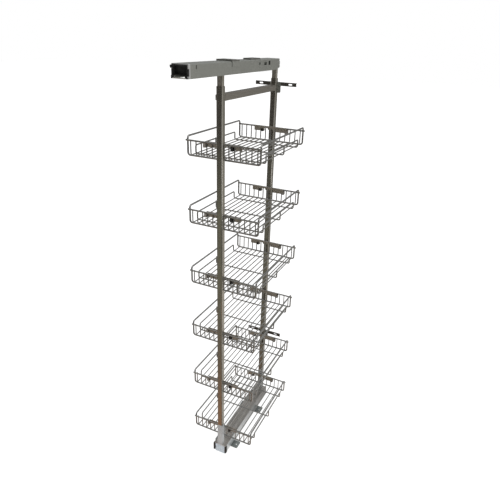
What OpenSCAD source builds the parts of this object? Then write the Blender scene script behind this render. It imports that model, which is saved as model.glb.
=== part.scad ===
// Pull out larder unit: six wire baskets hung between two telescopic posts,
// carried by ball runners at the cabinet floor and at the cabinet top.
// +Z is up from the cabinet floor, -Y is the door side, X is the narrow side.

/* [Baskets] */
// Distance between the centres of the two side loops
basket_w = 248; // [180:1:330]
// Distance between the centres of the two bottom rails
basket_d = 350; // [280:1:440]
// Height of the end rails over the bottom rails
end_h = 46.2; // [36:0.1:70]
// Height of the side loops over the bottom rails
side_h = 58; // [50:1:90]
// Height of the sides of the carrying ring over the bottom rails
ring_h = 23; // [15:1:32]
// Distance of the carrying ring from the two ends
ring_setback = 42; // [30:1:80]
// Distance between neighbouring floor wires
wire_pitch = 19; // [15:0.5:24]
// Diameter of the floor wires
wire_d = 3; // [2.5:0.1:3.4]
// Diameter of the end rails and side loops
rail_d = 5; // [4.6:0.1:5.6]
// Diameter of the ring and cross wires under the floor
ring_d = 4; // [3.6:0.1:4.4]

/* [Frame] */
// Height of the lowest basket's bottom rails over the cabinet floor
first_tier = 81.5; // [76:0.5:110]
// Height from one basket to the next
tier_pitch = 224; // [150:1:235]
// Width of the lower posts
post_w = 20; // [18:0.5:24]
// Depth of the lower posts
post_t = 18; // [16:0.5:24]
// Wall of the post tubes
post_wall = 1.5; // [1.2:0.1:2]
// Length of the upper posts between the lower ones and the cabinet top
post_reach = 68; // [58:1:90]
// Length of upper post inside the lower post at rest
post_insert = 250; // [210:1:400]
// Height of the foot blocks
foot_h = 102; // [60:1:110]
// Free space between a basket's end rail and the post
post_gap = 0.6; // [0.4:0.1:3]
// Height of the cross bar
bar_h = 19; // [14:1:26]
// Thickness of the cross bar's fixing tabs
bar_tab_t = 2; // [1.5:0.5:4]
// Drop from the posts' upper ends to the cross bar
bar_drop = 20.5; // [10:0.5:60]

/* [Basket hangers] */
// Half width of a hanger plate
wing_out = 62; // [60:1:72]
// Inner edge of a hanger's wing
wing_in = 22; // [16:1:24]
// Height of a hanger's wing
wing_h = 17; // [12:1:20]
// Thickness of a hanger plate
hanger_t = 2; // [1.5:0.1:3]
// Width of a plastic clip
clip_w = 8; // [6:0.5:9]

/* [Runners] */
// Overall height of the unit
unit_h = 1480; // [1472:1:1540]
// Sheet thickness of the runner members
sheet = 2; // [1.8:0.1:2.2]
// Gap between nested runner members
ball_gap = 3.4; // [3:0.1:4]
// Depth of the ball grooves
groove_depth = 0.8; // [0.5:0.1:1]
// Width of the bottom channel
channel_w = 54; // [50:1:70]
// Height of the bottom channel's top face
channel_top = 48; // [46:0.5:52]
// Length of the floor track and of the bottom slide
track_l = 390; // [340:1:450]
// Width of the top channel
top_w = 48; // [46:1:60]
// Height of the top channel
top_h = 34; // [32:0.5:38]
// Length of the top channel
top_l = 560; // [520:1:600]
// Length of the top slide
top_slide_l = 480; // [400:1:500]
// Distance from the middle of the baskets to the top channel's front end
top_front = 170; // [150:1:175]

/* [Mounting] */
// Thickness of the top mounting plates
plate_t = 4; // [3:0.5:6]
// Length of the rear top mounting plate
rear_plate_l = 45; // [38:1:60]
// Width of the front top mounting plate
front_plate_w = 30; // [24:1:40]
// Length of the front top mounting plate
front_plate_l = 65; // [60:1:80]
// Diameter of the screw holes
hole_d = 5.5; // [4:0.1:6]
// Hole distance across the rear top plate
plate_hole_x = 28; // [20:1:34]
// Hole distance along the rear top plate
plate_hole_y = 25; // [16:1:28]
// Hole distance along the front top plate
front_hole_y = 45; // [30:1:50]
// Thickness of the floor lugs
lug_t = 2.5; // [2:0.1:3]
// Width over the floor lugs
lug_w = 104; // [96:1:120]
// Depth of a floor lug
lug_l = 36; // [26:1:44]
// Hole distance across the floor lugs
lug_hole_x = 82; // [76:1:88]
// Distance from the front floor lug to the rear one
lug_pitch = 226; // [180:1:260]

/* [Door fixing] */
// Length of a door bar
door_bar_l = 154; // [120:1:200]
// Height of a door bar
door_bar_h = 12; // [11:0.5:16]
// Depth of a door bar's flanges
door_bar_t = 6; // [4:0.5:10]
// Drop from the lower posts' upper ends to the upper door bar's middle
door_drop = 19; // [12:1:60]
// Height of the lower door bar's middle
lower_bar_z = 354; // [340:1:380]
// Distance between the slotted holes of a door bar
door_hole_x = 110; // [90:1:112]
// Length of a slotted hole
slot_l = 14; // [8:1:18]
// Width of a slotted hole
slot_w = 5.2; // [4:0.1:6]
// Diameter of the pivot screws
pivot_d = 5; // [4:0.5:6]

/* [Hidden] */
$fn = 48;
tiers = 6;
eps = 1;

// Clearances
weld = 0.4;
lift = 0.2;
free = 0.3;
running = 0.05;

// Colours
zinc = [0.50, 0.50, 0.47];
nickel = [0.62, 0.60, 0.56];
chrome = [0.72, 0.72, 0.72];
bronze = [0.45, 0.41, 0.34];
pale = [0.78, 0.79, 0.80];
black = [0.09, 0.09, 0.09];
dark = [0.27, 0.25, 0.22];

// Basket: y runs from the front bottom rail to the rear one, z from their axes
floor_bend = 8;
frame_bend = 8;
ring_bend = 6;
end_rail_over = 4.5;
end_rail_y = lift - (wire_d + rail_d) / 2 + weld;
ring_z = lift - (wire_d + ring_d) / 2 + weld;
ring_x = basket_w / 2 - 2;
cross_x = ring_x + ring_d - 0.6;
cross_bend = 6;
sleeve_top = unit_h - post_reach;
outer_wires = floor((ring_x - ring_bend - wire_d / 2 - weld) / wire_pitch);

// Posts: the baskets' end rails hang just inside the posts' inner faces
basket_inset = post_gap + rail_d / 2 - end_rail_y;
post_in = basket_d / 2 + basket_inset;
post_out = post_in + post_t;
foot_top = channel_top + foot_h;
slim_w = post_w - 2 * post_wall - 2 * free;
slim_t = post_t - 2 * post_wall - 2 * free;
foot_wall = 3;
spigot_h = 25;
bar_z = sleeve_top - bar_drop - bar_h;
bar_screw_d = 5;
bar_head_d = 9;
bar_head_t = 2;
bar_tab_h = bar_h - 4;
bar_tab_in = 14;

// Hangers
plate_y = basket_inset + lift + wire_d / 2 + free;
wing_top = end_h + rail_d / 2 + free;
neck_h = 6.5;
middle_w = 18;
middle_h = 11.5;
ear_in = wire_d / 2 + 1.5;
ear_w = 5;
ear_h = 4.9;
ear_top = end_h - rail_d / 2 - free;
screw_z = ear_top - ear_h / 2;
screw_x = ear_in + ear_w / 2;
screw_d = 3;
head_d = 5.2;
head_t = 1.8;
clip_wall = 1.6;
clip_free = 0.2;
clip_lip = 8;
inner_clip_x = 2 * wire_pitch - wire_d / 2 - 1.5 - clip_w;
outer_clip_x = 3 * wire_pitch + wire_d / 2 + 0.7;

// Runner sections, from the outside in
bend_out = 2.4;
bend_in = 0.6;
plate_gap = 2;
groove_r = ball_gap / 2 + groove_depth;
ball_r = groove_r - free;
cage_t = 0.8;
cage_free = 0.15;
ball_pitch = 30;
bottom_slide_w = channel_w - 2 * sheet - 2 * ball_gap;
track_w = bottom_slide_w - 2 * sheet - 2 * ball_gap;
channel_low = lug_t + 9.5;
cap_in = channel_w / 2 - sheet - ball_gap + free;
cap_out = channel_w / 2 + 1.6;
cap_l = 9;
cap_face = 1.5;
bottom_slide_top = channel_top - sheet - plate_gap;
bottom_slide_low = lug_t + sheet + 3.5;
track_top = bottom_slide_top - sheet - 6;
bottom_rows = [track_top - 20, track_top - 6];
bottom_cage_l = track_l / 2 - 15;
top_slide_w = top_w - 2 * sheet - 2 * ball_gap;
inner_rail_w = top_slide_w - 2 * sheet - 2 * ball_gap;
top_z = unit_h - plate_t;
top_low = top_z - top_h;
lip_w = 4;
top_slide_top = top_z - sheet - plate_gap;
top_slide_low = top_low + sheet + 2;
inner_rail_top = top_slide_top - sheet - 4;
top_rows = [(top_slide_low + inner_rail_top) / 2];
top_slide_y = 5 - top_front;
outer_cage_l = top_slide_l / 2;
inner_cage_l = top_slide_l / 3;
outer_cage_y = outer_cage_l / 2 - top_front;
inner_cage_y = outer_cage_y - 10;

// Top mounting plates and the openings in the top channel
rear_plate_y = 148.5;
front_plate_y = -5.5;
flange_h = 14;
notch_y = 5;
notch_h = 20;
lip_notch_y = 17;
window_z = top_z - 11.5;
round_hole_y = -14;
round_hole_d = 9;
window_y = -66;
window_l = 22;
slot_y = -94;
slot_cut_l = 14;
slit_y = top_l - top_front - 38;
slit_l = 4;
end_notch_l = 4;
end_notch_h = 17;
plug_low = top_low + sheet + 4;
plug_set = 1;
plug_l = 14;
plug_wall = 3.5;
plug_pocket = 9;
plug_ear_l = 6;

// Floor lugs
front_lug_y = -94;
stop_t = 2;
stop_free = 0.4;

// Door fixing
door_plate_w = 40;
door_plate_t = 2.5;
door_plate_h = 36;
door_plate_over = 7;
door_bar_wall = 1.5;
door_head_t = 2;
door_head_over = 2;
plate_screw_d = 4;
plate_head_d = 7;
plate_head_t = 1.6;
plate_screw_z = [-12, -23];
upper_bar_z = sleeve_top - door_drop;
bar_back = post_out + door_plate_t + free;
bar_front = bar_back + door_bar_t;

// The unit stands over the middle of its own footprint
front_end = -bar_front;
rear_end = top_l - top_front + plug_ear_l;
mid_y = -(front_end + rear_end) / 2;

function unit(v) = v / norm(v);
function turn_at(a, p, b) = 180 - acos(unit(a - p) * unit(b - p));
function trim(p, q, o, r) = p + unit(q - p) * r * tan(turn_at(o, p, q) / 2);

// Straight wire between two points
module rod(a, b, d) {
    v = b - a;
    l = norm(v);
    translate(a)
        rotate([0, acos(v.z / l), atan2(v.y, v.x)])
            cylinder(h = l, d = d);
}

// Bend of radius r at point p, between the wires that come from a and from b
module elbow(a, p, b, r, d) {
    u = unit(a - p);
    w = unit(b - p);
    turn = turn_at(a, p, b);
    c = p + unit(u + w) * r / cos(turn / 2);
    t = r * tan(turn / 2);
    e1 = unit(p + w * t - c);
    e2 = unit(p + u * t - c);
    e3 = unit(cross(e1, e2));
    f2 = cross(e3, e1);
    multmatrix([[e1.x, f2.x, e3.x, c.x],
                [e1.y, f2.y, e3.y, c.y],
                [e1.z, f2.z, e3.z, c.z],
                [0, 0, 0, 1]])
        rotate_extrude(angle = turn)
            translate([r, 0])
                circle(d = d);
}

// Wire of diameter d bent with radius r at every inner point of a path
module wire(path, r, d) {
    last = len(path) - 1;
    for (i = [0 : last - 1]) {
        a = i == 0 ? path[0] : trim(path[i], path[i + 1], path[i - 1], r);
        b = i == last - 1 ? path[last] : trim(path[i + 1], path[i], path[i + 2], r);
        rod(a, b, d);
    }
    for (i = [1 : 1 : last - 1])
        elbow(path[i - 1], path[i], path[i + 1], r, d);
}

// Extrusion along Y of a section drawn in X and Z
module along_y(y, l)
    translate([0, y + l, 0])
        rotate([90, 0, 0])
            linear_extrude(height = l)
                children();

// Extrusion along X of a section drawn in Y and Z
module along_x(x, l)
    translate([x, 0, 0])
        rotate([90, 0, 90])
            linear_extrude(height = l)
                children();

// Rounded rectangle from the corner at (x, z)
module pad(x, z, w, h, r) {
    translate([x + r, z])
        square([w - 2 * r, h]);
    translate([x, z + r])
        square([w, h - 2 * r]);
    for (cx = [x + r, x + w - r])
        for (cz = [z + r, z + h - r])
            translate([cx, cz])
                circle(r = r);
}

// Folded sheet, closed at the top and open at the bottom
module cap_section(w, low, top)
    difference() {
        pad(-w / 2, low - 2 * bend_out, w, top - low + 2 * bend_out, bend_out);
        pad(sheet - w / 2, low - 3 * bend_out, w - 2 * sheet, top - sheet - low + 3 * bend_out, bend_in);
        translate([-w, low - 4 * bend_out])
            square([2 * w, 4 * bend_out]);
    }

// Folded sheet, closed at the bottom and open at the top
module cup_section(w, low, top)
    difference() {
        pad(-w / 2, low, w, top - low + 2 * bend_out, bend_out);
        pad(sheet - w / 2, low + sheet, w - 2 * sheet, top - low + 3 * bend_out, bend_in);
        translate([-w, top])
            square([2 * w, 4 * bend_out]);
    }

// Ball grooves on both sides of the running gap whose outer face is w wide
module grooves(w, rows)
    for (s = [-1, 1])
        for (z = rows)
            translate([s * (w - ball_gap) / 2, z])
                circle(r = groove_r);

// Thin cage with its balls, in the running gap whose outer face is w wide
module ball_cage(w, low, web_z, rows, y, l) {
    x = (w - ball_gap) / 2;
    count = floor((l - ball_pitch / 2) / ball_pitch);
    color(zinc)
        difference() {
            along_y(y, l)
                difference() {
                    translate([-x - cage_t / 2, low])
                        square([2 * x + cage_t, web_z + cage_t / 2 - low]);
                    translate([cage_t / 2 - x, low - eps])
                        square([2 * x - cage_t, web_z - cage_t / 2 - low + eps]);
                }
            for (i = [0 : count])
                for (z = rows)
                    translate([-w, y + (l - count * ball_pitch) / 2 + i * ball_pitch, z])
                        rotate([0, 90, 0])
                            cylinder(h = 2 * w, r = ball_r + cage_free, $fn = 24);
        }
    color(chrome)
        for (i = [0 : count])
            for (z = rows)
                for (s = [-1, 1])
                    translate([s * x, y + (l - count * ball_pitch) / 2 + i * ball_pitch, z])
                        sphere(r = ball_r, $fn = 24);
}

// Welded wire basket
module basket() {
    far = basket_d;
    union() {
        for (i = [-outer_wires : outer_wires]) {
            x = i * wire_pitch;
            top = end_h + 0.8;
            wire([[x, lift, top], [x, lift, lift], [x, far - lift, lift], [x, far - lift, top]],
                 floor_bend, wire_d);
        }
        for (y = [end_rail_y, far - end_rail_y])
            rod([-basket_w / 2 - end_rail_over, y, end_h], [basket_w / 2 + end_rail_over, y, end_h], rail_d);
        frame_x = basket_w / 2;
        frame_start = [wire_pitch / 2, 0, 0];
        wire([frame_start,
              [frame_x, 0, 0], [frame_x, 0, side_h], [frame_x, far, side_h], [frame_x, far, 0],
              [-frame_x, far, 0], [-frame_x, far, side_h], [-frame_x, 0, side_h], [-frame_x, 0, 0],
              frame_start],
             frame_bend, rail_d);
        ring_start = [wire_pitch / 2, ring_setback, ring_z];
        wire([ring_start,
              [ring_x, ring_setback, ring_z], [ring_x, ring_setback, ring_h],
              [ring_x, far - ring_setback, ring_h], [ring_x, far - ring_setback, ring_z],
              [-ring_x, far - ring_setback, ring_z], [-ring_x, far - ring_setback, ring_h],
              [-ring_x, ring_setback, ring_h], [-ring_x, ring_setback, ring_z],
              ring_start],
             ring_bend, ring_d);
        cross_top = ring_h + 1.3;
        wire([[-cross_x, far / 2, cross_top], [-cross_x, far / 2, ring_z],
              [cross_x, far / 2, ring_z], [cross_x, far / 2, cross_top]],
             cross_bend, ring_d);
    }
}

// Basket on its tier
module basket_at(tier)
    color(chrome)
        translate([0, mid_y - basket_d / 2, first_tier + tier * tier_pitch])
            basket();

// Puts a piece drawn at the front post's inner face, with +Y into the basket, on a tier
module at_front(tier)
    translate([0, mid_y - post_in, first_tier + tier * tier_pitch])
        children();

// The same at the rear post, turned half round
module at_rear(tier)
    translate([0, mid_y + post_in, first_tier + tier * tier_pitch])
        rotate([0, 0, 180])
            children();

// Hanger: two wings behind the basket's end wires, with two ears to the post under the end rail
module hanger()
    color(bronze)
        difference() {
            union() {
                along_y(plate_y, hanger_t) {
                    translate([-wing_out, wing_top - neck_h])
                        square([2 * wing_out, neck_h]);
                    for (s = [-1, 1])
                        pad(s * (wing_in + wing_out) / 2 - (wing_out - wing_in) / 2,
                            wing_top - wing_h, wing_out - wing_in, wing_h, 2);
                    pad(-middle_w / 2, wing_top - middle_h, middle_w, middle_h, 1.5);
                }
                for (s = [-1, 1])
                    translate([s * screw_x - ear_w / 2, 0, ear_top - ear_h])
                        cube([ear_w, plate_y, ear_h]);
            }
            for (s = [-1, 1])
                translate([s * screw_x, -eps, screw_z])
                    rotate([-90, 0, 0])
                        cylinder(h = plate_y + hanger_t + 2 * eps, d = screw_d + 2 * running);
        }

// The two screws of a hanger
module hanger_screws()
    for (s = [-1, 1])
        translate([s * screw_x, 0, screw_z])
            rotate([-90, 0, 0]) {
                cylinder(h = plate_y + hanger_t, d = screw_d);
                translate([0, 0, plate_y + hanger_t])
                    cylinder(h = head_t, d = head_d);
            }

// Clip under the end rail, pushed onto the lower edge of the hanger's wing
module clip(x) {
    inner = plate_y + hanger_t + clip_free + clip_wall;
    slot_low = wing_top - wing_h - clip_free;
    along_x(x, clip_w)
        difference() {
            translate([post_gap, slot_low - clip_wall])
                square([inner - post_gap, end_h - rail_d / 2 - clip_free - slot_low + clip_wall]);
            translate([plate_y - clip_free, slot_low])
                square([hanger_t + 2 * clip_free, wing_h]);
            translate([plate_y + hanger_t, slot_low + clip_lip])
                square([inner - plate_y, wing_h]);
        }
}

// The two clips of a hanger, one at the inner and one at the outer end of a wing
module clip_pair() {
    clip(inner_clip_x);
    clip(-outer_clip_x - clip_w);
}

// Rectangular tube standing on z
module post_tube(w, t, wall, z, top)
    difference() {
        translate([-w / 2, -t / 2, z])
            cube([w, t, top - z]);
        translate([wall - w / 2, wall - t / 2, z - eps])
            cube([w - 2 * wall, t - 2 * wall, top - z + 2 * eps]);
    }

// Puts a piece drawn around the post's axis at the front (-1) or rear (1) post
module at_post(side)
    translate([0, mid_y + side * (post_in + post_t / 2), 0])
        children();

// Lower post, with the hole of the cross bar's screw in one side
module lower_post()
    color(nickel)
        difference() {
            post_tube(post_w, post_t, post_wall, foot_top, sleeve_top);
            translate([post_w / 2 - post_wall - eps, 0, bar_z + bar_h / 2])
                rotate([0, 90, 0])
                    cylinder(h = post_wall + 2 * eps, d = bar_screw_d + 2 * running);
        }

// Foot block with a spigot that plugs into the lower post
module foot()
    color(pale)
        difference() {
            union() {
                translate([-post_w / 2, -post_t / 2, channel_top])
                    cube([post_w, post_t, foot_h]);
                translate([post_wall + running - post_w / 2, post_wall + running - post_t / 2, channel_top])
                    cube([post_w - 2 * post_wall - 2 * running, post_t - 2 * post_wall - 2 * running,
                          foot_h + spigot_h]);
            }
            translate([foot_wall + post_wall - post_w / 2, foot_wall + post_wall - post_t / 2,
                       channel_top + foot_wall])
                cube([post_w - 2 * post_wall - 2 * foot_wall, post_t - 2 * post_wall - 2 * foot_wall,
                      foot_h + spigot_h]);
        }

// Upper post, sliding in the lower one
module upper_post()
    post_tube(slim_w, slim_t, post_wall, sleeve_top - post_insert, top_slide_low);

// Screw with its head at z = 0 and its shank below
module pan_screw(d, head, t, l) {
    translate([0, 0, -l])
        cylinder(h = l, d = d);
    cylinder(h = t, d = head);
}

// Plate on the front post that carries a door bar's pivot
module door_plate(z)
    color(zinc)
        translate([0, mid_y, 0])
            difference() {
                along_y(-post_out - door_plate_t, door_plate_t)
                    pad(-door_plate_w / 2, z + door_plate_over - door_plate_h,
                        door_plate_w, door_plate_h, 4);
                translate([0, eps - post_out, z])
                    rotate([90, 0, 0])
                        cylinder(h = door_plate_t + 2 * eps, d = pivot_d + 2 * running);
                for (drop = plate_screw_z)
                    translate([0, eps - post_out, z + drop])
                        rotate([90, 0, 0])
                            cylinder(h = door_plate_t + 2 * eps, d = plate_screw_d + 2 * running);
            }

// Pivot screw and the two fixing screws of a door plate
module door_screw_set(z)
    translate([0, mid_y, 0]) {
        translate([0, -bar_back - door_bar_wall - free, z])
            rotate([90, 0, 0])
                pan_screw(pivot_d, pivot_d + door_head_over, door_head_t,
                          bar_back + door_bar_wall + free - post_out);
        for (drop = plate_screw_z)
            translate([0, -post_out - door_plate_t, z + drop])
                rotate([90, 0, 0])
                    pan_screw(plate_screw_d, plate_head_d, plate_head_t, door_plate_t);
    }

// Door bar: a folded strip with slotted holes, tilting about its pivot
module door_bar(z)
    color(dark)
        translate([0, mid_y, z])
            difference() {
                along_x(-door_bar_l / 2, door_bar_l)
                    difference() {
                        translate([-bar_front, -door_bar_h / 2])
                            square([door_bar_t, door_bar_h]);
                        translate([-bar_front - eps, door_bar_wall - door_bar_h / 2])
                            square([door_bar_t - door_bar_wall + eps, door_bar_h - 2 * door_bar_wall]);
                    }
                translate([0, eps - bar_back, 0])
                    rotate([90, 0, 0])
                        cylinder(h = door_bar_wall + 2 * eps, d = pivot_d + 4 * running);
                for (s = [-1, 1])
                    along_y(-bar_front - eps, door_bar_t + 2 * eps)
                        pad(s * door_hole_x / 2 - slot_l / 2, -slot_w / 2, slot_l, slot_w, slot_w / 2 - 0.01);
            }

// Floor track with the upright plate that closes its rear end inside the channel
module bottom_track()
    color(zinc)
        translate([0, mid_y, 0]) {
            along_y(-track_l / 2, track_l + stop_free)
                difference() {
                    cup_section(track_w, lug_t, track_top);
                    grooves(track_w + 2 * ball_gap, bottom_rows);
                }
            along_y(track_l / 2 + stop_free, stop_t)
                translate([-bottom_slide_w / 2, lug_t])
                    square([bottom_slide_w, channel_top - sheet - stop_free - lug_t]);
        }

module floor_lug(y)
    color(zinc)
        translate([0, mid_y + y, 0])
            difference() {
                linear_extrude(height = lug_t)
                    pad(-lug_w / 2, -lug_l / 2, lug_w, lug_l, 5);
                for (s = [-1, 1])
                    translate([s * lug_hole_x / 2, 0, -eps])
                        cylinder(h = lug_t + 2 * eps, d = hole_d);
            }

module front_floor_lug() { floor_lug(front_lug_y); }
module rear_floor_lug() { floor_lug(front_lug_y + lug_pitch); }

module bottom_slide()
    color(zinc)
        translate([0, mid_y, 0])
            along_y(-track_l / 2, track_l)
                difference() {
                    cap_section(bottom_slide_w, bottom_slide_low, bottom_slide_top);
                    grooves(bottom_slide_w + 2 * ball_gap, bottom_rows);
                    grooves(bottom_slide_w - 2 * sheet, bottom_rows);
                }

module bottom_inner_balls()
    translate([0, mid_y, 0])
        ball_cage(bottom_slide_w - 2 * sheet, bottom_rows[0] - 6,
                  (track_top + bottom_slide_top - sheet) / 2, bottom_rows,
                  -bottom_cage_l / 2, bottom_cage_l);

module bottom_outer_balls()
    translate([0, mid_y, 0])
        ball_cage(channel_w - 2 * sheet, bottom_rows[0] - 6,
                  bottom_slide_top + plate_gap / 2, bottom_rows,
                  -bottom_cage_l / 2, bottom_cage_l);

module bottom_channel()
    color(dark)
        translate([0, mid_y, 0])
            along_y(-post_out, 2 * post_out)
                difference() {
                    cap_section(channel_w, channel_low, channel_top);
                    grooves(channel_w - 2 * sheet, bottom_rows);
                }

module channel_end_caps()
    color(black)
        translate([0, mid_y, 0])
            for (s = [-1, 1])
                difference() {
                    along_y(post_out - cap_l, cap_l + cap_face)
                        translate([s * (cap_in + cap_out) / 2 - (cap_out - cap_in) / 2, channel_low - 1])
                            square([cap_out - cap_in, channel_top - sheet - channel_low]);
                    along_y(post_out - cap_l - eps, cap_l + eps)
                        translate([s * (channel_w - sheet) / 2 - sheet / 2 - running, channel_low - running])
                            square([sheet + 2 * running, channel_top]);
                }

module front_foot() { at_post(-1) foot(); }
module rear_foot() { at_post(1) foot(); }
module front_post() { at_post(-1) lower_post(); }
module rear_post() { at_post(1) lower_post(); }

module cross_bar()
    color(nickel)
        translate([0, mid_y, 0])
            difference() {
                union() {
                    along_y(-post_in, 2 * post_in)
                        difference() {
                            translate([-post_w / 2, bar_z])
                                square([post_w, bar_h]);
                            translate([post_wall - post_w / 2, bar_z + post_wall])
                                square([post_w - 2 * post_wall, bar_h - 2 * post_wall]);
                        }
                    for (s = [-1, 1])
                        along_x(post_w / 2, bar_tab_t)
                            pad(s * (post_out + post_in - bar_tab_in) / 2 - (post_t + bar_tab_in) / 2,
                                bar_z + (bar_h - bar_tab_h) / 2, post_t + bar_tab_in, bar_tab_h, 1.5);
                }
                for (s = [-1, 1])
                    translate([post_w / 2 - eps, s * (post_in + post_t / 2), bar_z + bar_h / 2])
                        rotate([0, 90, 0])
                            cylinder(h = bar_tab_t + 2 * eps, d = bar_screw_d + 2 * running);
            }

module cross_bar_screws()
    color(chrome)
        translate([0, mid_y, 0])
            for (s = [-1, 1])
                translate([post_w / 2 + bar_tab_t, s * (post_in + post_t / 2), bar_z + bar_h / 2])
                    rotate([0, 90, 0])
                        pan_screw(bar_screw_d, bar_head_d, bar_head_t, bar_tab_t + post_wall);

module basket_1() { basket_at(0); }
module basket_2() { basket_at(1); }
module basket_3() { basket_at(2); }
module basket_4() { basket_at(3); }
module basket_5() { basket_at(4); }
module basket_6() { basket_at(5); }

module front_hanger_1() { at_front(0) hanger(); }
module front_hanger_2() { at_front(1) hanger(); }
module front_hanger_3() { at_front(2) hanger(); }
module front_hanger_4() { at_front(3) hanger(); }
module front_hanger_5() { at_front(4) hanger(); }
module front_hanger_6() { at_front(5) hanger(); }
module rear_hanger_1() { at_rear(0) hanger(); }
module rear_hanger_2() { at_rear(1) hanger(); }
module rear_hanger_3() { at_rear(2) hanger(); }
module rear_hanger_4() { at_rear(3) hanger(); }
module rear_hanger_5() { at_rear(4) hanger(); }
module rear_hanger_6() { at_rear(5) hanger(); }

module front_clips()
    color(black)
        for (tier = [0 : tiers - 1])
            at_front(tier) clip_pair();

module rear_clips()
    color(black)
        for (tier = [0 : tiers - 1])
            at_rear(tier) clip_pair();

module front_hanger_screws()
    color(chrome)
        for (tier = [0 : tiers - 1])
            at_front(tier) hanger_screws();

module rear_hanger_screws()
    color(chrome)
        for (tier = [0 : tiers - 1])
            at_rear(tier) hanger_screws();

module upper_door_plate() { door_plate(upper_bar_z); }
module lower_door_plate() { door_plate(lower_bar_z); }

module door_screws()
    color(chrome) {
        door_screw_set(upper_bar_z);
        door_screw_set(lower_bar_z);
    }

module upper_door_bar() { door_bar(upper_bar_z); }
module lower_door_bar() { door_bar(lower_bar_z); }

module front_upper_post()
    color(nickel)
        at_post(-1) upper_post();

module rear_upper_post()
    color(nickel)
        difference() {
            at_post(1) upper_post();
            at_post(1)
                translate([-3, slim_t / 2 - 2 * post_wall, top_slide_low - 10])
                    rotate([-90, 0, 0])
                        cylinder(h = 4 * post_wall, d = 4);
        }

module top_inner_rail()
    color(zinc)
        translate([0, mid_y, 0])
            along_y(-post_out, 2 * post_out)
                difference() {
                    cup_section(inner_rail_w, top_slide_low, inner_rail_top);
                    grooves(inner_rail_w + 2 * ball_gap, top_rows);
                }

module top_slide()
    color(zinc)
        translate([0, mid_y, 0])
            along_y(top_slide_y, top_slide_l)
                difference() {
                    cap_section(top_slide_w, top_slide_low, top_slide_top);
                    grooves(top_slide_w + 2 * ball_gap, top_rows);
                    grooves(top_slide_w - 2 * sheet, top_rows);
                }

module top_inner_balls()
    translate([0, mid_y, 0])
        ball_cage(top_slide_w - 2 * sheet, top_slide_low + 3,
                  (inner_rail_top + top_slide_top - sheet) / 2, top_rows,
                  inner_cage_y, inner_cage_l);

module top_outer_balls()
    translate([0, mid_y, 0])
        ball_cage(top_w - 2 * sheet, top_slide_low + 3,
                  top_slide_top + plate_gap / 2, top_rows,
                  outer_cage_y, outer_cage_l);

module top_track()
    color(zinc)
        translate([0, mid_y, 0])
            difference() {
                along_y(-top_front, top_l) {
                    difference() {
                        cap_section(top_w, top_low, top_z);
                        grooves(top_w - 2 * sheet, top_rows);
                    }
                    for (s = [-1, 1])
                        translate([s * (top_w - 2 * sheet - lip_w) / 2 - lip_w / 2 - 0.01, top_low])
                            square([lip_w + 0.02, sheet]);
                }
                translate([-top_w, -top_front - eps, top_low - eps])
                    cube([2 * top_w, notch_y + eps, notch_h + eps]);
                translate([-top_w, -top_front - eps, top_low - eps])
                    cube([2 * top_w, lip_notch_y + eps, 2 * sheet + eps]);
                translate([-top_w, round_hole_y, window_z])
                    rotate([0, 90, 0])
                        cylinder(h = 2 * top_w, d = round_hole_d);
                translate([-top_w, window_y, window_z - 5])
                    cube([2 * top_w, window_l, 8.5]);
                translate([-top_w, slot_y, window_z - 5.5])
                    cube([2 * top_w, slot_cut_l, 11.5]);
                translate([-top_w, slit_y, window_z - 1])
                    cube([2 * top_w, slit_l, 9]);
                translate([-top_w, top_l - top_front - end_notch_l, plug_low])
                    cube([2 * top_w, end_notch_l + eps, end_notch_h]);
                for (x = [-plate_hole_x / 2, plate_hole_x / 2])
                    for (y = [-plate_hole_y / 2, plate_hole_y / 2])
                        translate([x, rear_plate_y + y, top_z - 2 * sheet])
                            cylinder(h = 3 * sheet, d = hole_d);
                for (y = [-front_hole_y / 2, front_hole_y / 2])
                    translate([0, front_plate_y + y, top_z - 2 * sheet])
                        cylinder(h = 3 * sheet, d = hole_d);
            }

module front_top_plate()
    color(zinc)
        translate([0, mid_y + front_plate_y, top_z])
            difference() {
                linear_extrude(height = plate_t)
                    pad(-front_plate_w / 2, -front_plate_l / 2, front_plate_w, front_plate_l, 4);
                for (y = [-front_hole_y / 2, front_hole_y / 2])
                    translate([0, y, -eps])
                        cylinder(h = plate_t + 2 * eps, d = hole_d);
            }

module rear_top_plate()
    color(zinc)
        translate([0, mid_y + rear_plate_y, top_z])
            difference() {
                union() {
                    linear_extrude(height = plate_t)
                        pad(-top_w / 2 - sheet, -rear_plate_l / 2, top_w + 2 * sheet, rear_plate_l, 2);
                    for (s = [-1, 1])
                        translate([s * (top_w + sheet) / 2 - sheet / 2, 2 - rear_plate_l / 2, -flange_h])
                            cube([sheet, rear_plate_l - 4, flange_h + plate_t / 2]);
                }
                for (x = [-plate_hole_x / 2, plate_hole_x / 2])
                    for (y = [-plate_hole_y / 2, plate_hole_y / 2])
                        translate([x, y, -eps])
                            cylinder(h = plate_t + 2 * eps, d = hole_d);
            }

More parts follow.
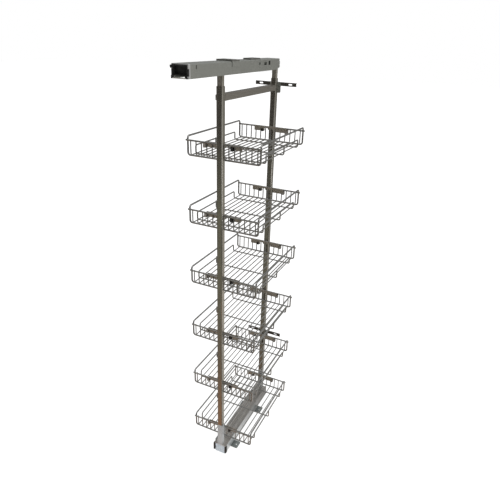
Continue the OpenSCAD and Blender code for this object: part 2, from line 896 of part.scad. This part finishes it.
// Hollow plug set back in the channel's rear end, with its side tabs, ear and feet
module rear_plug()
    color(black)
        translate([0, mid_y + top_l - top_front, 0]) {
            body_x = top_w / 2 - sheet - free;
            body_top = top_z - sheet - free;
            difference() {
                along_y(-plug_set - plug_l, plug_l)
                    pad(-body_x, plug_low, 2 * body_x, body_top - plug_low, 1.5);
                along_y(-plug_set - plug_pocket, plug_pocket + eps)
                    pad(plug_wall - body_x, plug_low + plug_wall,
                        2 * (body_x - plug_wall), body_top - plug_low - 2 * plug_wall, 1.5);
            }
            for (s = [-1, 1])
                translate([s * (top_w / 2 - 2) - 2, -end_notch_l + free, plug_low + free])
                    cube([4, end_notch_l + 1 - free, end_notch_h - 2 * free]);
            along_y(-plug_set - 1, plug_set + 1)
                translate([body_x - plug_wall, body_top - 8])
                    square([plug_wall, 7]);
            along_y(0, plug_ear_l)
                pad(body_x - plug_wall, body_top - 8, 6, 7, 1.5);
            along_y(-plug_set - 1, plug_set + 5)
                translate([body_x - plug_wall - 1, plug_low])
                    square([plug_wall + 1, 2]);
            along_y(0, 4)
                translate([body_x - plug_wall - 1, top_low])
                    square([plug_wall + 3, 8]);
            along_y(-plug_set - 1, plug_set + 3)
                translate([-body_x, plug_low])
                    square([7, 2]);
            along_y(0, 2)
                translate([-body_x, top_low])
                    square([7, 8]);
        }

bottom_track();
front_floor_lug();
rear_floor_lug();
bottom_slide();
bottom_inner_balls();
bottom_outer_balls();
bottom_channel();
channel_end_caps();
front_foot();
rear_foot();
front_post();
rear_post();
cross_bar();
cross_bar_screws();
basket_1();
basket_2();
basket_3();
basket_4();
basket_5();
basket_6();
front_hanger_1();
front_hanger_2();
front_hanger_3();
front_hanger_4();
front_hanger_5();
front_hanger_6();
rear_hanger_1();
rear_hanger_2();
rear_hanger_3();
rear_hanger_4();
rear_hanger_5();
rear_hanger_6();
front_clips();
rear_clips();
front_hanger_screws();
rear_hanger_screws();
upper_door_plate();
lower_door_plate();
door_screws();
upper_door_bar();
lower_door_bar();
front_upper_post();
rear_upper_post();
top_inner_rail();
top_slide();
top_inner_balls();
top_outer_balls();
top_track();
front_top_plate();
rear_top_plate();
rear_plug();
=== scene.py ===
"""Looks of the pull out larder unit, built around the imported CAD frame, in metres."""

import math
from collections import namedtuple

import bmesh
import bpy
from mathutils import Matrix, Vector


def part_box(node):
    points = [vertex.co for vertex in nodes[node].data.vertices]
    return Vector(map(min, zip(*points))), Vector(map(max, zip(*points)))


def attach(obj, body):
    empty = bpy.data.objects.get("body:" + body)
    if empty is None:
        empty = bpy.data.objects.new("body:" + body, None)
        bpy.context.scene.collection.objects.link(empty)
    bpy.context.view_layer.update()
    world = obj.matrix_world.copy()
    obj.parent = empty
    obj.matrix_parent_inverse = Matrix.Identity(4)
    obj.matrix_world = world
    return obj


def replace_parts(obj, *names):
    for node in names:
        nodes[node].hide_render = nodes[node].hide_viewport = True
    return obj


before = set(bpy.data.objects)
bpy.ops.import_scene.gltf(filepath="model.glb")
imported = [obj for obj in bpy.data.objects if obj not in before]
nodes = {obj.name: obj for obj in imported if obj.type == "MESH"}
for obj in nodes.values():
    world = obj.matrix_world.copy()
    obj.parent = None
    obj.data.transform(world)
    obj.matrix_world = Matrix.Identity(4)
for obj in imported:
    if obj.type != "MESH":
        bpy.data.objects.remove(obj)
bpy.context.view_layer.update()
scene = bpy.context.scene

ENDS = ("front", "rear")
TIERS = range(1, 7)
WHITE = (1, 1, 1, 1)


# ---------------------------------------------------------------- camera
# A pinhole camera fitted to the baskets' rails, in pixels of the photograph, metres and radians
IMAGE = 500.0
FOCAL_PX = 463.787
CENTRE_PX = (259.155, 260.668)
CAMERA_AT = Vector((-0.67268, 1.30007, 1.54193))
PITCH = 0.451341
ROLL = -0.039309
YAW = 0.418054
SENSOR_MM = 36.0
CLIP_START = 0.05


def camera_axes():
    """Right, up and back of the camera, from its yaw, pitch and roll."""
    right = Vector((-math.cos(YAW), -math.sin(YAW), 0.0))
    ahead = Vector(
        (
            math.sin(YAW) * math.cos(PITCH),
            -math.cos(YAW) * math.cos(PITCH),
            -math.sin(PITCH),
        )
    )
    down = ahead.cross(right)
    rolled_right = right * math.cos(ROLL) + down * math.sin(ROLL)
    rolled_down = -right * math.sin(ROLL) + down * math.cos(ROLL)
    return rolled_right, -rolled_down, -ahead


def add_camera():
    data = bpy.data.cameras.new("camera")
    data.sensor_width = SENSOR_MM
    data.lens = FOCAL_PX / IMAGE * data.sensor_width
    data.shift_x = -(CENTRE_PX[0] - IMAGE / 2) / IMAGE
    data.shift_y = (CENTRE_PX[1] - IMAGE / 2) / IMAGE
    data.clip_start = CLIP_START
    obj = bpy.data.objects.new("camera", data)
    turn = Matrix(camera_axes()).transposed().to_4x4()
    obj.matrix_world = Matrix.Translation(CAMERA_AT) @ turn
    scene.collection.objects.link(obj)
    scene.camera = obj


# ---------------------------------------------------------------- material nodes
# How a pattern is stretched: the small number is the axis that its marks run along
EVEN = (1, 1, 1)
ALONG_X = (0.012, 1, 1)
SHORT_ALONG_X = (0.02, 1, 1)
ALONG_Y = (1, 0.012, 1)
ALONG_Z = (1, 1, 0.012)
CRYSTAL_STRETCH = (1, 0.45, 1)

NOISE_ROUGHNESS = 0.55
BRUSH_SCALE = 900.0
CRYSTAL_SCALE = 120.0
SHEET_GRAIN_SCALE = 1400.0
PLASTIC_GRAIN_SCALE = 2600.0
ORANGE_PEEL_SCALE = 700.0
BRUSH_DEPTH = 0.00012
GRAIN_DEPTH = 0.0001
ORANGE_PEEL_DEPTH = 0.00015
EDGE_FADE = 0.001


class NodeTree:
    """A node tree with short calls for what materials and the world share."""

    def __init__(self, tree):
        self.tree = tree

    def node(self, kind, **values):
        made = self.tree.nodes.new(kind)
        for key, value in values.items():
            setattr(made, key, value)
        return made

    def link(self, a, b):
        self.tree.links.new(a, b)

    def part_of(self, vector, axis):
        """One axis of a vector."""
        split = self.node("ShaderNodeSeparateXYZ")
        self.link(vector, split.inputs[0])
        return split.outputs[axis]

    def spread(self, value, low, high, out_low=0.0, out_high=1.0, curve="LINEAR"):
        """The value's range from low to high, taken to another range and cut off at its ends."""
        made = self.node("ShaderNodeMapRange", interpolation_type=curve)
        made.inputs["From Min"].default_value = low
        made.inputs["From Max"].default_value = high
        made.inputs["To Min"].default_value = out_low
        made.inputs["To Max"].default_value = out_high
        self.link(value, made.inputs["Value"])
        return made.outputs["Result"]

    def mix(self, factor, a, b):
        """Colour between a, at factor 0, and b, at factor 1."""
        made = self.node("ShaderNodeMix", data_type="RGBA")
        if isinstance(factor, float):
            made.inputs["Factor"].default_value = factor
        else:
            self.link(factor, made.inputs["Factor"])
        for socket, value in ((made.inputs[6], a), (made.inputs[7], b)):
            if isinstance(value, tuple):
                socket.default_value = (*value, 1.0)
            else:
                self.link(value, socket)
        return made.outputs[2]


class Finish(NodeTree):
    """A material's node tree, with the patterns that the finishes are made of."""

    def __init__(self, name):
        self.material = bpy.data.materials.new(name)
        self.material.use_nodes = True
        super().__init__(self.material.node_tree)
        self.shader = self.tree.nodes["Principled BSDF"]
        self.coords = self.node("ShaderNodeTexCoord").outputs["Object"]

    def feed(self, output, socket):
        """Drive one of the shader's sockets."""
        self.link(output, self.shader.inputs[socket])

    def stretched(self, scale):
        mapping = self.node("ShaderNodeMapping")
        mapping.inputs["Scale"].default_value = scale
        self.link(self.coords, mapping.inputs["Vector"])
        return mapping.outputs["Vector"]

    def noise(self, scale, detail, stretch=EVEN):
        made = self.node("ShaderNodeTexNoise")
        made.inputs["Scale"].default_value = scale
        made.inputs["Detail"].default_value = detail
        made.inputs["Roughness"].default_value = NOISE_ROUGHNESS
        self.link(self.stretched(stretch), made.inputs["Vector"])
        return made.outputs["Fac"]

    def streaks(self, stretch, scale=BRUSH_SCALE):
        """Fine brush marks."""
        return self.spread(self.noise(scale, 3.0, stretch), 0.35, 0.65)

    def clouds(self, scale, detail=5.0, low=0.35, high=0.68):
        """Broad, soft patches of tone."""
        return self.spread(self.noise(scale, detail), low, high)

    def dust(self):
        """Small dusty spots."""
        return self.spread(self.noise(60.0, 6.0), 0.45, 0.75)

    def crystals(self):
        """Patches of a zinc coat, a little longer along Y."""
        cells = self.node("ShaderNodeTexVoronoi")
        cells.inputs["Scale"].default_value = CRYSTAL_SCALE
        self.link(self.stretched(CRYSTAL_STRETCH), cells.inputs["Vector"])
        return self.spread(cells.outputs["Distance"], 0.1, 0.75)

    def past(self, axis, start, end):
        """Factor that grows from 0 at start to 1 at end along one axis of the part."""
        return self.spread(self.part_of(self.coords, axis), start, end)

    def facing_up(self):
        """Factor that is 1 on faces that look up and 0 on upright ones."""
        normal = self.node("ShaderNodeTexCoord").outputs["Normal"]
        return self.spread(self.part_of(normal, "Z"), 0.3, 0.8)

    def bump(self, height, strength, distance):
        made = self.node("ShaderNodeBump")
        made.inputs["Strength"].default_value = strength
        made.inputs["Distance"].default_value = distance
        self.link(height, made.inputs["Height"])
        self.feed(made.outputs["Normal"], "Normal")


# ---------------------------------------------------------------- kinds of finish
AGED_TONE = 0.86
CLEAN_SHARE = 0.62
CHANNEL_CLEAN_SHARE = 0.75

# Painted light on the bottom channel's side walls: painted shade over this length of the door end, fading
# over the next to a pale painted reflection
PAINTED_SHADE_L = 0.05335
FADE_L = 0.26

# Another tone of a sheet past an edge on one axis, such as the top runner's lighter open end; on the
# bottom track's end plate and the top plates' tops it is painted light
OtherTone = namedtuple("OtherTone", "axis edge light deep metallic")


def metal(name, light, deep, metallic, rough, brush, grain=BRUSH_SCALE, bump=0.15):
    """Plated or brushed metal: streaks along one axis, cloudy tone and uneven gloss."""
    t = Finish(name)
    streaks = t.streaks(brush, grain)
    clouds = t.clouds(9.0)
    tone = t.mix(streaks, deep, light)
    aged = t.mix(clouds, tuple(AGED_TONE * c for c in deep), tone)
    t.feed(t.mix(CLEAN_SHARE, aged, tone), "Base Color")
    t.shader.inputs["Metallic"].default_value = metallic
    t.feed(t.spread(clouds, 0.0, 1.0, rough + 0.06, rough - 0.05), "Roughness")
    t.bump(streaks, bump, BRUSH_DEPTH)
    return t.material


def zinc_sheet(name, light, deep, metallic, rough, other=None):
    """Zinc plated sheet: soft crystal patches over a fine grain, with another tone past an edge."""
    t = Finish(name)
    crystals = t.crystals()
    colour = t.mix(t.clouds(14.0, 6.0, 0.34), deep, t.mix(crystals, light, deep))
    if other:
        past_edge = t.past(other.axis, other.edge - EDGE_FADE, other.edge + EDGE_FADE)
        colour = t.mix(past_edge, colour, t.mix(crystals, other.light, other.deep))
        t.feed(t.spread(past_edge, 0.0, 1.0, metallic, other.metallic), "Metallic")
    else:
        t.shader.inputs["Metallic"].default_value = metallic
    t.feed(colour, "Base Color")
    t.feed(t.spread(crystals, 0.0, 1.0, rough - 0.05, rough + 0.08), "Roughness")
    t.bump(t.noise(SHEET_GRAIN_SCALE, 2.0), 0.12, GRAIN_DEPTH)
    return t.material


def plastic(name, light, deep, rough):
    """Moulded plastic: fine eroded grain and dusty high spots."""
    t = Finish(name)
    dust = t.dust()
    t.feed(t.mix(dust, deep, light), "Base Color")
    t.feed(t.spread(dust, 0.0, 1.0, rough, rough + 0.15), "Roughness")
    t.bump(t.noise(PLASTIC_GRAIN_SCALE, 2.0), 0.25, GRAIN_DEPTH)
    return t.material


def clip_finish(name, side):
    """Dark clips, with the plated ones on one side (1 for +X, -1 for -X)."""
    t = Finish(name)
    dust = t.dust()
    dark = t.mix(dust, (0.012, 0.012, 0.012), (0.035, 0.035, 0.034))
    plated = t.mix(t.streaks(SHORT_ALONG_X), (0.20, 0.18, 0.155), (0.30, 0.275, 0.24))
    on_side = t.past("X", -EDGE_FADE * side, EDGE_FADE * side)
    t.feed(t.mix(on_side, dark, plated), "Base Color")
    t.feed(t.spread(dust, 0.0, 1.0, 0.42, 0.57), "Roughness")
    t.bump(t.noise(PLASTIC_GRAIN_SCALE, 2.0), 0.25, GRAIN_DEPTH)
    return t.material


def channel_finish_and_painted_light(name):
    """Plated channel: brushed top; side walls with a pale painted reflection and painted shade towards the
    door end.
    """
    t = Finish(name)
    streaks = t.streaks(ALONG_Y)
    clouds = t.clouds(16.0)
    brushed = t.mix(streaks, (0.40, 0.38, 0.36), (0.72, 0.69, 0.65))
    stained = t.mix(CHANNEL_CLEAN_SHARE, (0.30, 0.285, 0.27), brushed)
    top = t.mix(clouds, stained, brushed)
    # Painted reflection: the pale colour of the side walls
    pale = t.mix(streaks, (0.66, 0.70, 0.72), (0.84, 0.88, 0.90))
    # Painted shade: the darker side walls at the door end
    painted_shade = t.mix(streaks, (0.20, 0.20, 0.20), (0.34, 0.34, 0.33))
    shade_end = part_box("bottom_channel")[0].y + PAINTED_SHADE_L
    sides_painted_light = t.mix(t.past("Y", shade_end, shade_end + FADE_L), painted_shade, pale)
    # Side walls with their painted light, told from the top by which way the faces look
    t.feed(t.mix(t.facing_up(), sides_painted_light, top), "Base Color")
    t.shader.inputs["Metallic"].default_value = 0.8
    t.feed(t.spread(clouds, 0.0, 1.0, 0.40, 0.29), "Roughness")
    t.bump(streaks, 0.15, BRUSH_DEPTH)
    return t.material


def painted(name, light, deep, rough):
    """Powder coat: orange peel and a slight change of tone."""
    t = Finish(name)
    tone = t.clouds(22.0, 5.0, 0.38, 0.66)
    t.feed(t.mix(tone, deep, light), "Base Color")
    t.shader.inputs["Metallic"].default_value = 0.25
    t.feed(t.spread(tone, 0.0, 1.0, rough + 0.06, rough), "Roughness")
    t.bump(t.noise(ORANGE_PEEL_SCALE, 3.0), 0.2, ORANGE_PEEL_DEPTH)
    return t.material


# ---------------------------------------------------------------- finishes of the nodes
# Length of the top runner's open end in a lighter tone
LIGHT_RUNNER_END_L = 0.00915
PALE_TRACK_L = 0.00315
PLATE_TOP_RISE = 0.0002

ZINC_LIGHT = (0.60, 0.615, 0.58)
ZINC_DEEP = (0.47, 0.485, 0.455)

runner_end = OtherTone(
    axis="Y",
    edge=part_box("top_track")[1].y - LIGHT_RUNNER_END_L,
    light=(0.92, 0.93, 0.94),
    deep=(0.78, 0.79, 0.80),
    metallic=0.84,
)
# The bottom track's zinc end plate, nearly non-metal and pale blue-grey: its grey with a painted
# reflection of pale surroundings
track_end_painted_reflection = OtherTone(
    axis="Y",
    edge=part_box("bottom_track")[1].y - PALE_TRACK_L,
    light=(0.76, 0.83, 0.89),
    deep=(0.60, 0.66, 0.72),
    metallic=0.05,
)
# Painted shade: the two top plates' flat tops darker than their side flanges
plate_top_painted_shade = OtherTone(
    axis="Z",
    edge=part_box("front_top_plate")[0].z + PLATE_TOP_RISE,
    light=(0.34, 0.34, 0.32),
    deep=(0.24, 0.24, 0.225),
    metallic=0.84,
)

zinc = zinc_sheet("zinc_sheet", ZINC_LIGHT, ZINC_DEEP, 0.85, 0.36)
runner_zinc = zinc_sheet("runner_zinc", ZINC_LIGHT, ZINC_DEEP, 0.85, 0.36, runner_end)
plate_zinc = zinc_sheet("plate_zinc", ZINC_LIGHT, ZINC_DEEP, 0.85, 0.36, plate_top_painted_shade)
track_zinc = zinc_sheet("track_zinc", (0.58, 0.595, 0.58), (0.46, 0.475, 0.465), 0.85, 0.36, track_end_painted_reflection)
lug_zinc = zinc_sheet("lug_zinc", (0.50, 0.545, 0.535), (0.36, 0.40, 0.395), 0.45, 0.42)
strap_zinc = zinc_sheet("strap_zinc", (0.60, 0.57, 0.53), (0.46, 0.44, 0.41), 0.3, 0.40)
nickel = metal("satin_nickel", (0.56, 0.54, 0.49), (0.40, 0.38, 0.33), 0.92, 0.21, ALONG_Z, bump=0.05)
slim_nickel = metal("slim_nickel", (0.62, 0.59, 0.53), (0.46, 0.43, 0.37), 0.85, 0.34, ALONG_Z)
bar_metal = metal("bar_nickel", (0.54, 0.52, 0.48), (0.38, 0.36, 0.32), 0.9, 0.32, ALONG_Y)
door_metal = metal("door_bar_steel", (0.24, 0.23, 0.21), (0.10, 0.09, 0.08), 0.8, 0.36, ALONG_X)
bronze = metal("hanger_bronze", (0.58, 0.53, 0.46), (0.42, 0.38, 0.32), 0.75, 0.42, SHORT_ALONG_X)
chrome = metal("wire_chrome", (0.52, 0.52, 0.505), (0.40, 0.40, 0.39), 0.9, 0.26, EVEN, 300.0, 0.08)
steel = metal("screw_steel", (0.5, 0.5, 0.48), (0.36, 0.36, 0.34), 0.9, 0.3, EVEN, 500.0, 0.1)
# Painted highlight: the beads' pale colour stands for light along their crests
bead_painted_highlight = metal("channel_bead", (0.90, 0.88, 0.85), (0.72, 0.70, 0.67), 0.6, 0.30, ALONG_Y)
channel_metal = channel_finish_and_painted_light("channel_steel")
foot_paint = painted("foot_coat", (0.62, 0.63, 0.635), (0.50, 0.51, 0.515), 0.42)
black = plastic("black_plastic", (0.035, 0.035, 0.034), (0.012, 0.012, 0.012), 0.42)
rear_clip = clip_finish("rear_clip_finish", 1)
front_clip = clip_finish("front_clip_finish", -1)

FINISHES = (
    (zinc, ["bottom_slide", "top_slide", "top_inner_rail", "upper_door_plate", "lower_door_plate"]),
    (track_zinc, ["bottom_track"]),
    (lug_zinc, ["front_floor_lug", "rear_floor_lug"]),
    (plate_zinc, ["front_top_plate", "rear_top_plate"]),
    (runner_zinc, ["top_track"]),
    (steel, ["bottom_inner_balls", "bottom_outer_balls", "top_inner_balls", "top_outer_balls"]),
    (steel, ["cross_bar_screws", "front_hanger_screws", "rear_hanger_screws", "door_screws"]),
    (channel_metal, ["bottom_channel"]),
    (black, ["channel_end_caps", "rear_plug"]),
    (rear_clip, ["rear_clips"]),
    (front_clip, ["front_clips"]),
    (foot_paint, ["front_foot", "rear_foot"]),
    (nickel, ["front_post", "rear_post", "front_upper_post", "rear_upper_post"]),
    (bar_metal, ["cross_bar"]),
    (door_metal, ["upper_door_bar", "lower_door_bar"]),
    (chrome, [f"basket_{tier}" for tier in TIERS]),
    (bronze, [f"{end}_hanger_{tier}" for end in ENDS for tier in TIERS]),
)


def paint(node, material):
    """Give a CAD node its one material."""
    slots = nodes[node].data.materials
    slots.clear()
    slots.append(material)


for material, names in FINISHES:
    for name in names:
        paint(name, material)


def add_piece(name, bm, material, body):
    """New piece from a finished mesh, riding on a CAD body."""
    mesh = bpy.data.meshes.new(name)
    bm.to_mesh(mesh)
    bm.free()
    mesh.materials.append(material)
    obj = bpy.data.objects.new(name, mesh)
    scene.collection.objects.link(obj)
    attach(obj, body)
    return obj


# ---------------------------------------------------------------- posts
POST_WALL = 0.0015
LOWER_CORNER = 0.0020
UPPER_CORNER = 0.0016
INNER_CORNER_LESS = 0.001
CORNER_STEPS = 5


def rounded_ring(bm, low, high, radius, z):
    """Vertices of a rectangle with rounded corners at one height."""
    ring = []
    for corner in range(4):
        right, back = corner in (0, 3), corner in (0, 1)
        cx = high.x - radius if right else low.x + radius
        cy = high.y - radius if back else low.y + radius
        for step in range(CORNER_STEPS + 1):
            turn = math.radians(90 * corner + 90 * step / CORNER_STEPS)
            ring.append(bm.verts.new((cx + radius * math.cos(turn), cy + radius * math.sin(turn), z)))
    return ring


def bridge(bm, a, b, side):
    """Faces between two rings; only the bends of a side wall are shaded smooth."""
    for i in range(len(a)):
        j = (i + 1) % len(a)
        face = bm.faces.new((a[i], a[j], b[j], b[i]))
        face.smooth = side and j % (len(a) // 4) != 0


def add_post(node, body, corner, material):
    """Drawn tube with rounded corners in place of a post with sharp edges."""
    low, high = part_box(node)
    wall = Vector((POST_WALL, POST_WALL, 0.0))
    inner_corner = corner - INNER_CORNER_LESS
    bm = bmesh.new()
    outer = [rounded_ring(bm, low, high, corner, z) for z in (low.z, high.z)]
    inner = [rounded_ring(bm, low + wall, high - wall, inner_corner, z) for z in (low.z, high.z)]
    bridge(bm, outer[0], outer[1], True)
    bridge(bm, inner[1], inner[0], True)
    bridge(bm, outer[1], inner[1], False)
    bridge(bm, inner[0], outer[0], False)
    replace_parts(add_piece(node + "_tube", bm, material, body), node)


for end in ENDS:
    add_post(f"{end}_post", "larder_frame", LOWER_CORNER, nickel)
    add_post(f"{end}_upper_post", "upper_frame", UPPER_CORNER, slim_nickel)


# ---------------------------------------------------------------- channel beads
BEAD_X = 0.0115
BEAD_HALF = 0.0011
BEAD_RISE = 0.0006
BEAD_END_GAP = 0.002
BEAD_SUNK = 0.0001
BEAD_STEPS = 8


def add_bead(name, x):
    """Low pressed bead along the channel's top, with a half round section."""
    low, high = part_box("bottom_channel")
    bm = bmesh.new()
    rows = []
    for y in (low.y + BEAD_END_GAP, high.y - BEAD_END_GAP):
        row = []
        for i in range(BEAD_STEPS + 1):
            turn = math.pi * i / BEAD_STEPS
            z = high.z - BEAD_SUNK + BEAD_RISE * math.sin(turn)
            row.append(bm.verts.new((x + BEAD_HALF * math.cos(turn), y, z)))
        rows.append(row)
    for i in range(BEAD_STEPS):
        bm.faces.new((rows[0][i], rows[0][i + 1], rows[1][i + 1], rows[1][i])).smooth = True
    bm.faces.new((rows[0][0], rows[1][0], rows[1][-1], rows[0][-1]))
    bm.faces.new(rows[0])
    bm.faces.new(list(reversed(rows[1])))
    bmesh.ops.recalc_face_normals(bm, faces=bm.faces)
    # The bead is drawn as a pressed ridge; its pale colour is a painted highlight
    add_piece(name, bm, bead_painted_highlight, "larder_frame")


add_bead("channel_bead_right", -BEAD_X)
add_bead("channel_bead_left", BEAD_X)


# ---------------------------------------------------------------- strap across the top runner's open end
STRAP_HALF_W = 0.0185
STRAP_H = 0.0028
STRAP_L = 0.0030
STRAP_IN = 0.0004
STRAP_EDGE = 0.0007


def add_strap():
    """Thin rolled strap between the two lower edges of the top runner's open end."""
    low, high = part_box("rear_plug")
    back = high.y - STRAP_IN
    bm = bmesh.new()
    bmesh.ops.create_cube(bm, size=1.0)
    for v in bm.verts:
        v.co = (
            v.co.x * 2 * STRAP_HALF_W,
            back - STRAP_L / 2 + v.co.y * STRAP_L,
            low.z + STRAP_H / 2 + v.co.z * STRAP_H,
        )
    bmesh.ops.bevel(bm, geom=bm.edges[:], offset=STRAP_EDGE, segments=3, affect="EDGES", profile=0.5)
    for face in bm.faces:
        face.smooth = True
    add_piece("runner_strap", bm, strap_zinc, "top_fixed")


add_strap()


# ---------------------------------------------------------------- baskets
WIRE_GROWTH = 0.0004
SHARP_WIRE = math.radians(42)
SAME_PLACE = 1e-6


def add_basket(node):
    """The basket's welded wires, drawn a little fuller than the solid and inside its box."""
    low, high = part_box(node)
    bm = bmesh.new()
    bm.from_mesh(nodes[node].data)
    bmesh.ops.remove_doubles(bm, verts=bm.verts, dist=SAME_PLACE)
    bmesh.ops.recalc_face_normals(bm, faces=bm.faces)
    bm.normal_update()
    places = [v.co + v.normal * WIRE_GROWTH for v in bm.verts]
    for v, place in zip(bm.verts, places):
        v.co = [min(max(place[i], low[i]), high[i]) for i in range(3)]
    for face in bm.faces:
        face.smooth = True
    for edge in bm.edges:
        edge.smooth = len(edge.link_faces) == 2 and edge.calc_face_angle(0.0) < SHARP_WIRE
    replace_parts(add_piece(node + "_wires", bm, chrome, "larder_frame"), node)


for tier in TIERS:
    add_basket(f"basket_{tier}")


# ---------------------------------------------------------------- floor and key light
FLOOR_SIZE = 40
FLOOR_DROP = 0.001
FLOOR_GLOW = 0.86
KEY_AT = Vector((-2.6, 0.6, 2.6))
KEY_TO = Vector((0, 0, 0.8))
KEY_SIZE = (1.2, 1.8)
KEY_POWER = 18


def add_floor():
    """Plain pale floor just under the unit, left out of its reflections."""
    bpy.ops.mesh.primitive_plane_add(size=FLOOR_SIZE, location=(0, 0, -FLOOR_DROP))
    floor = bpy.context.object
    floor.name = "floor"
    t = Finish("floor_white")
    tone = t.clouds(0.8, 3.0, 0.3, 0.7)
    t.feed(t.mix(tone, (0.56, 0.56, 0.56), (0.6, 0.6, 0.6)), "Base Color")
    t.shader.inputs["Roughness"].default_value = 0.9
    t.shader.inputs["Emission Color"].default_value = WHITE
    t.shader.inputs["Emission Strength"].default_value = FLOOR_GLOW
    floor.data.materials.append(t.material)
    floor.visible_glossy = False


def add_key_light():
    data = bpy.data.lights.new("key", "AREA")
    data.shape = "RECTANGLE"
    data.size, data.size_y = KEY_SIZE
    data.energy = KEY_POWER
    obj = bpy.data.objects.new("key", data)
    obj.location = KEY_AT
    obj.rotation_euler = (KEY_TO - KEY_AT).to_track_quat("-Z", "Y").to_euler()
    scene.collection.objects.link(obj)


# ---------------------------------------------------------------- studio around the unit
# Colours that the metal mirrors, by the height of the direction: -1 is straight down, 1 straight up
PALE_SIDE = [
    (-1.0, (0.60, 0.59, 0.58)),
    (-0.72, (0.98, 0.94, 0.91)),
    (-0.50, (0.86, 0.80, 0.74)),
    (-0.33, (0.53, 0.50, 0.45)),
    (-0.20, (0.33, 0.315, 0.285)),
    (-0.10, (0.29, 0.28, 0.26)),
    (0.35, (0.40, 0.40, 0.39)),
    (1.0, (0.80, 0.80, 0.80)),
]
FAR_SIDE = [
    (-1.0, (0.36, 0.35, 0.34)),
    (-0.45, (0.25, 0.245, 0.23)),
    (-0.10, (0.14, 0.135, 0.125)),
    (0.35, (0.26, 0.26, 0.255)),
    (1.0, (0.80, 0.80, 0.80)),
]
DIM_CORNER = [
    (-1.0, (0.28, 0.27, 0.26)),
    (-0.80, (0.40, 0.30, 0.22)),
    (-0.73, (0.62, 0.26, 0.09)),
    (-0.64, (0.15, 0.13, 0.10)),
    (-0.38, (0.22, 0.22, 0.16)),
    (-0.20, (0.03, 0.024, 0.022)),
    (-0.10, (0.02, 0.014, 0.013)),
    (-0.04, (0.06, 0.055, 0.04)),
    (0.20, (0.06, 0.06, 0.06)),
    (1.0, (0.80, 0.80, 0.80)),
]
DARK_BACK = [
    (-1.0, (0.30, 0.29, 0.28)),
    (-0.5, (0.05, 0.045, 0.04)),
    (0.20, (0.03, 0.03, 0.03)),
    (1.0, (0.80, 0.80, 0.80)),
]

# Each zone's middle direction, and the cosines from it between which the zone fades in
PALE_ZONE = ((-0.90, -0.43, 0.0), 0.745, 0.825)
DIM_ZONE = ((0.52, 0.85, 0.0), 0.1, 0.6)
DARK_ZONE = ((-0.46, 0.89, 0.0), 0.72, 0.93)


class Studio(NodeTree):
    """The world's node tree, with colours by direction."""

    def __init__(self, world):
        super().__init__(world.node_tree)
        self.way = self.node("ShaderNodeTexCoord").outputs["Generated"]

    def level_way(self):
        """The direction without its height."""
        flat = self.node("ShaderNodeVectorMath", operation="MULTIPLY")
        flat.inputs[1].default_value = (1, 1, 0)
        self.link(self.way, flat.inputs[0])
        level = self.node("ShaderNodeVectorMath", operation="NORMALIZE")
        self.link(flat.outputs[0], level.inputs[0])
        return level.outputs[0]

    def zone(self, way, middle, low, high):
        """Factor that grows from 0 to 1 as the direction nears the middle of a zone."""
        dot = self.node("ShaderNodeVectorMath", operation="DOT_PRODUCT")
        dot.inputs[1].default_value = Vector(middle).normalized()
        self.link(way, dot.inputs[0])
        return self.spread(dot.outputs["Value"], low, high, curve="SMOOTHSTEP")

    def by_height(self, stops):
        """Colour ramp over the height of the direction."""
        ramp = self.node("ShaderNodeValToRGB")
        marks = ramp.color_ramp.elements
        for mark, (height, colour) in ((marks[0], stops[0]), (marks[1], stops[-1])):
            mark.position = 0.5 + height / 2
            mark.color = (*colour, 1)
        for height, colour in stops[1:-1]:
            marks.new(0.5 + height / 2).color = (*colour, 1)
        self.link(self.spread(self.part_of(self.way, "Z"), -1.0, 1.0), ramp.inputs["Fac"])
        return ramp.outputs["Color"]


def add_world():
    """A studio of four zones that lights the object, and plain white to the camera."""
    world = bpy.data.worlds.new("world")
    world.use_nodes = True
    s = Studio(world)
    colour = s.mix(s.zone(s.level_way(), *PALE_ZONE), s.by_height(FAR_SIDE), s.by_height(PALE_SIDE))
    colour = s.mix(s.zone(s.way, *DIM_ZONE), colour, s.by_height(DIM_CORNER))
    colour = s.mix(s.zone(s.way, *DARK_ZONE), colour, s.by_height(DARK_BACK))
    studio = s.tree.nodes["Background"]
    s.link(colour, studio.inputs["Color"])
    studio.inputs["Strength"].default_value = 1.0
    backdrop = s.node("ShaderNodeBackground")
    backdrop.inputs["Color"].default_value = WHITE
    choice = s.node("ShaderNodeMixShader")
    s.link(s.node("ShaderNodeLightPath").outputs["Is Camera Ray"], choice.inputs["Fac"])
    s.link(studio.outputs["Background"], choice.inputs[1])
    s.link(backdrop.outputs["Background"], choice.inputs[2])
    s.link(choice.outputs["Shader"], s.tree.nodes["World Output"].inputs["Surface"])
    scene.world = world


add_floor()
add_world()
add_key_light()
add_camera()
scene.view_settings.view_transform = "Standard"
